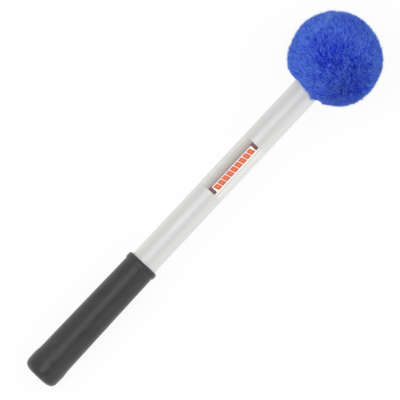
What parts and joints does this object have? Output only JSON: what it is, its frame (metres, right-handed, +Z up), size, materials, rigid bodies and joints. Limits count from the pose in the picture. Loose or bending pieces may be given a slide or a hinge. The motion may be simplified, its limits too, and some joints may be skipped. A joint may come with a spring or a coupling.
{
  "type": "percussion mallet",
  "caption": "Plush-covered ball head on a satin aluminium tube with a slip-on grip, a beater for gongs, bass drums and other large percussion.",
  "frame": {"origin": "on the table under the middle of the mallet's bounding box, as it lies on its ball and on the barrel at its grip's butt", "axes": "+X towards the ball along the mallet's length, with the ball's end raised by about 3.9 degrees, +Z up from the table"},
  "size_m": [0.3724, 0.0732, 0.0733],
  "materials": {
    "satin_aluminium": "satin anodised, with fine lines along the tube",
    "black_grip": "dip-moulded soft vinyl, semi-matt",
    "label_film": "printed film, satin",
    "turned_wood": "turned hardwood, unvarnished",
    "zinc_steel": "bright zinc plate",
    "grey_felt": "pressed wool felt",
    "blue_plush": "long-pile synthetic plush, matt",
    "white_cord": "twisted polyester cord",
    "natural_plastic": "moulded polyethylene, uncoloured"
  },
  "bodies": {
    "root": {"shaft_tube": "satin_aluminium", "grip_sleeve": "black_grip", "butt_plug": "natural_plastic", "label_film": "label_film", "head_core": "turned_wood", "head_plug": "turned_wood", "cross_pin": "zinc_steel", "core_screw": "zinc_steel", "core_washer": "zinc_steel", "recess_disc": "grey_felt", "felt_layer": "grey_felt", "plush_cover": "blue_plush", "gather_cord": "white_cord"}
  },
  "joints": []
}
